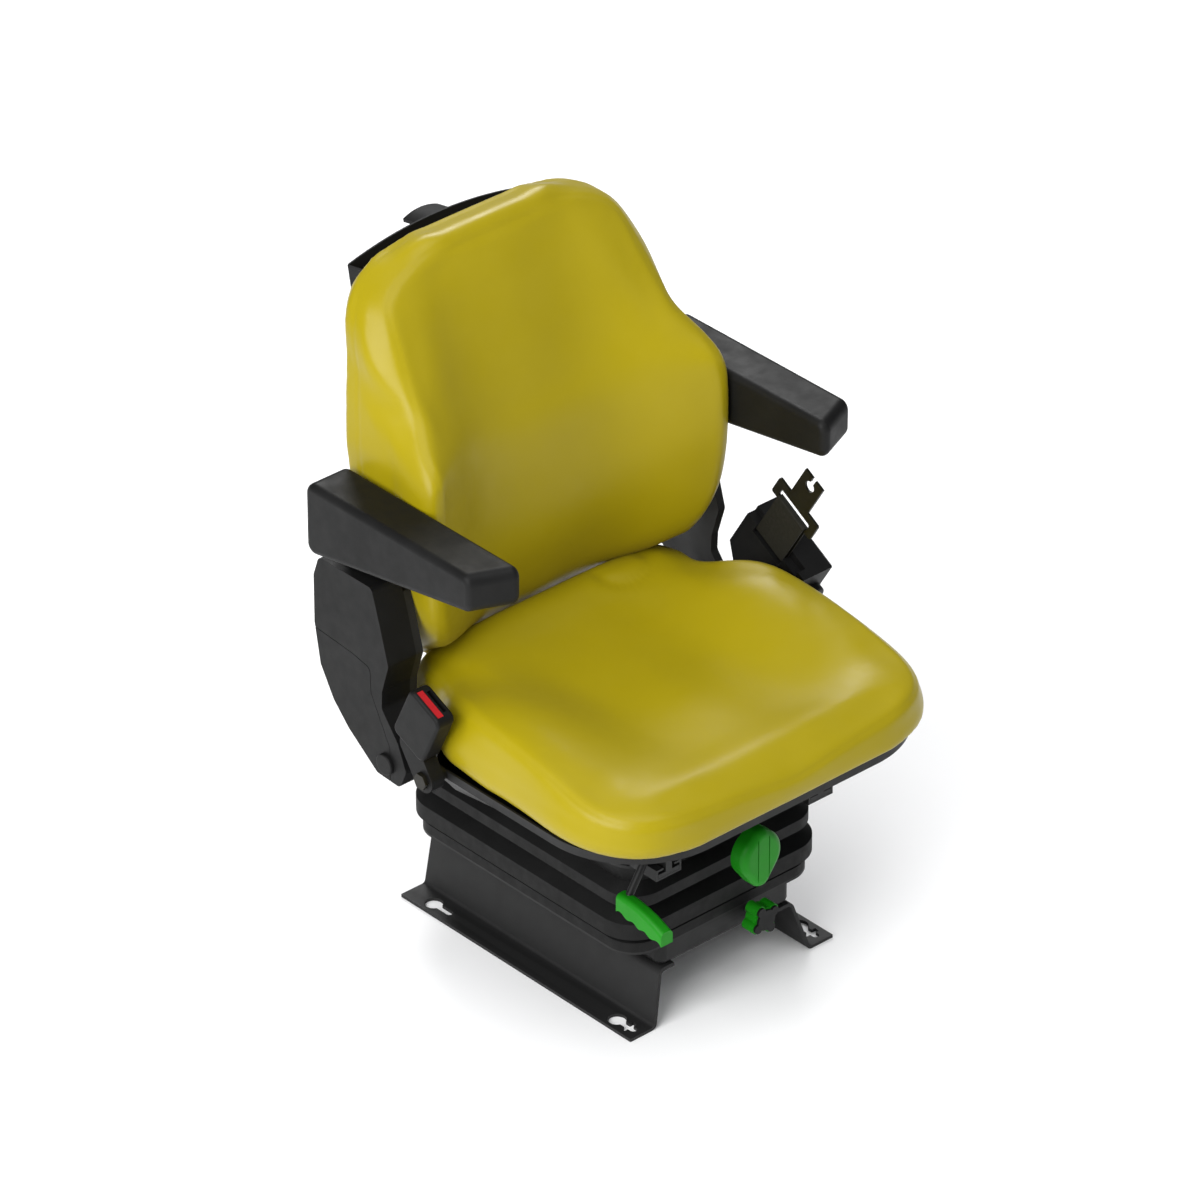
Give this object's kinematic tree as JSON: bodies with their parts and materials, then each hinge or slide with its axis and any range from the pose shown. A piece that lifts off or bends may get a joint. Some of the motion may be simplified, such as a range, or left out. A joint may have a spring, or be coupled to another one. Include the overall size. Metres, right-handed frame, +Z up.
{
  "type": "operator seat",
  "caption": "Padded operator seat with backrest, folding armrests and lap belt on slide rails and a bellows-covered scissor suspension with keyhole floor brackets.",
  "frame": {"origin": "middle of the keyhole pattern on the floor plane under the mounting brackets", "axes": "+Z up; the seated person looks along -Y; +X is the person's left"},
  "size_m": [0.57, 0.6093, 0.811],
  "materials": {
    "yellow_vinyl": "semi gloss coated fabric",
    "black_plastic": "fine grain",
    "black_paint": "satin black",
    "bellows_rubber": "matt",
    "green_plastic": "satin",
    "red_plastic": "satin",
    "steel": "dark plated",
    "webbing": "woven"
  },
  "bodies": {
    "base": {"mount_bracket_left": "black_paint", "mount_bracket_right": "black_paint", "base_tray": "black_paint", "bellows": "bellows_rubber", "damper_body": "black_paint", "lower_pivot_shaft": "steel", "suspension_spring_left": "steel", "suspension_spring_right": "steel"},
    "outer_arms": {"outer_scissor_arms": "black_paint", "scissor_middle_pins": "steel"},
    "upper_rollers": {"upper_rollers": "black_plastic"},
    "inner_arms": {"inner_scissor_arms": "black_paint"},
    "lower_rollers": {"lower_rollers": "black_plastic"},
    "carriage": {"upper_frame": "black_paint", "upper_pivot_shaft": "steel", "damper_rod": "steel", "slide_rail_left": "black_paint", "slide_rail_right": "black_paint"},
    "seat": {"slide_runner_left": "black_paint", "slide_runner_right": "black_paint", "seat_pan": "black_paint", "seat_cushion": "yellow_vinyl", "recline_bracket_left": "black_paint", "recline_bracket_right": "black_paint", "recline_pin_left": "steel", "recline_pin_right": "steel", "buckle_housing": "black_plastic", "buckle_boot": "black_plastic", "buckle_anchor_bolt": "steel", "retractor_housing": "black_plastic", "retractor_cap": "black_plastic", "retractor_bracket": "black_paint", "belt_webbing": "webbing", "belt_tongue": "steel"},
    "slide_lever": {"slide_lever_rod": "black_paint", "slide_lever_grip": "green_plastic"},
    "weight_handle": {"weight_handle": "green_plastic", "weight_spindle": "steel"},
    "height_knob": {"height_knob_body": "green_plastic", "height_knob_face": "black_plastic", "height_knob_shaft": "steel"},
    "backrest": {"back_carrier_left": "black_paint", "back_carrier_right": "black_paint", "hinge_cover_upper": "black_plastic", "hinge_cover_lower": "black_plastic", "hinge_boss": "black_plastic", "back_bar": "black_paint", "back_strut_left": "black_paint", "back_strut_right": "black_paint", "back_shell": "black_plastic", "extension_socket": "black_plastic", "back_cushion": "yellow_vinyl", "armrest_pin_left": "steel", "armrest_pin_right": "steel"},
    "armrest_left": {"armrest_left": "black_plastic"},
    "armrest_right": {"armrest_right": "black_plastic"},
    "buckle_button": {"buckle_button": "red_plastic"}
  },
  "joints": [
    {"name": "suspension", "type": "slide", "parent": "base", "child": "carriage", "axis": [0, 0, 1], "range_m": [-0.06, 0], "stiffness_N_per_m": 12000, "springref_m": 0.045, "deforming": ["bellows", "suspension_spring_left", "suspension_spring_right"]},
    {"name": "outer_arm_pivot", "type": "hinge", "parent": "base", "child": "outer_arms", "pos_m": [0, 0.15, 0.0857], "axis": [1, 0, 0], "range_deg": [0, 12]},
    {"name": "upper_roller_spin", "type": "hinge", "parent": "outer_arms", "child": "upper_rollers", "pos_m": [0, -0.13191, 0.1883], "axis": [1, 0, 0], "range_deg": [-66, 0]},
    {"name": "inner_arm_pivot", "type": "hinge", "parent": "carriage", "child": "inner_arms", "pos_m": [0, 0.15, 0.1883], "axis": [1, 0, 0], "range_deg": [-12, 0]},
    {"name": "lower_roller_spin", "type": "hinge", "parent": "inner_arms", "child": "lower_rollers", "pos_m": [0, -0.13191, 0.0857], "axis": [1, 0, 0], "range_deg": [0, 66]},
    {"name": "fore_aft", "type": "slide", "parent": "carriage", "child": "seat", "axis": [0, -1, 0], "range_m": [-0.075, 0.075]},
    {"name": "slide_lever_lift", "type": "hinge", "parent": "seat", "child": "slide_lever", "pos_m": [-0.112, -0.194, 0.236], "axis": [-1, 0, 0], "range_deg": [0, 10], "stiffness_Nm_per_rad": 2, "springref_deg": -8.59},
    {"name": "weight_adjust", "type": "hinge", "parent": "carriage", "child": "weight_handle", "pos_m": [0, -0.2, 0.218], "axis": [0, 1, 0], "range_deg": [-45, 45]},
    {"name": "height_knob_turn", "type": "hinge", "parent": "base", "child": "height_knob", "pos_m": [0.032, -0.2, 0.087], "axis": [0, 1, 0], "continuous": true},
    {"name": "recline", "type": "hinge", "parent": "seat", "child": "backrest", "pos_m": [0, 0.076, 0.283], "axis": [-1, 0, 0], "range_deg": [-5, 15]},
    {"name": "armrest_left_fold", "type": "hinge", "parent": "backrest", "child": "armrest_left", "pos_m": [0.247, 0.15, 0.546], "axis": [-1, 0, 0], "range_deg": [0, 90]},
    {"name": "armrest_right_fold", "type": "hinge", "parent": "backrest", "child": "armrest_right", "pos_m": [-0.247, 0.15, 0.546], "axis": [-1, 0, 0], "range_deg": [0, 90]},
    {"name": "buckle_press", "type": "slide", "parent": "seat", "child": "buckle_button", "axis": [0, 0.4226, -0.9063], "range_m": [0, 0.004], "stiffness_N_per_m": 600, "springref_m": -0.002}
  ],
  "couplings": [
    {"joint": "outer_arm_pivot", "follows": "suspension", "rad_per_m": -3.444},
    {"joint": "inner_arm_pivot", "follows": "suspension", "rad_per_m": 3.444},
    {"joint": "upper_roller_spin", "follows": "suspension", "rad_per_m": 19.12},
    {"joint": "lower_roller_spin", "follows": "suspension", "rad_per_m": -19.12}
  ]
}
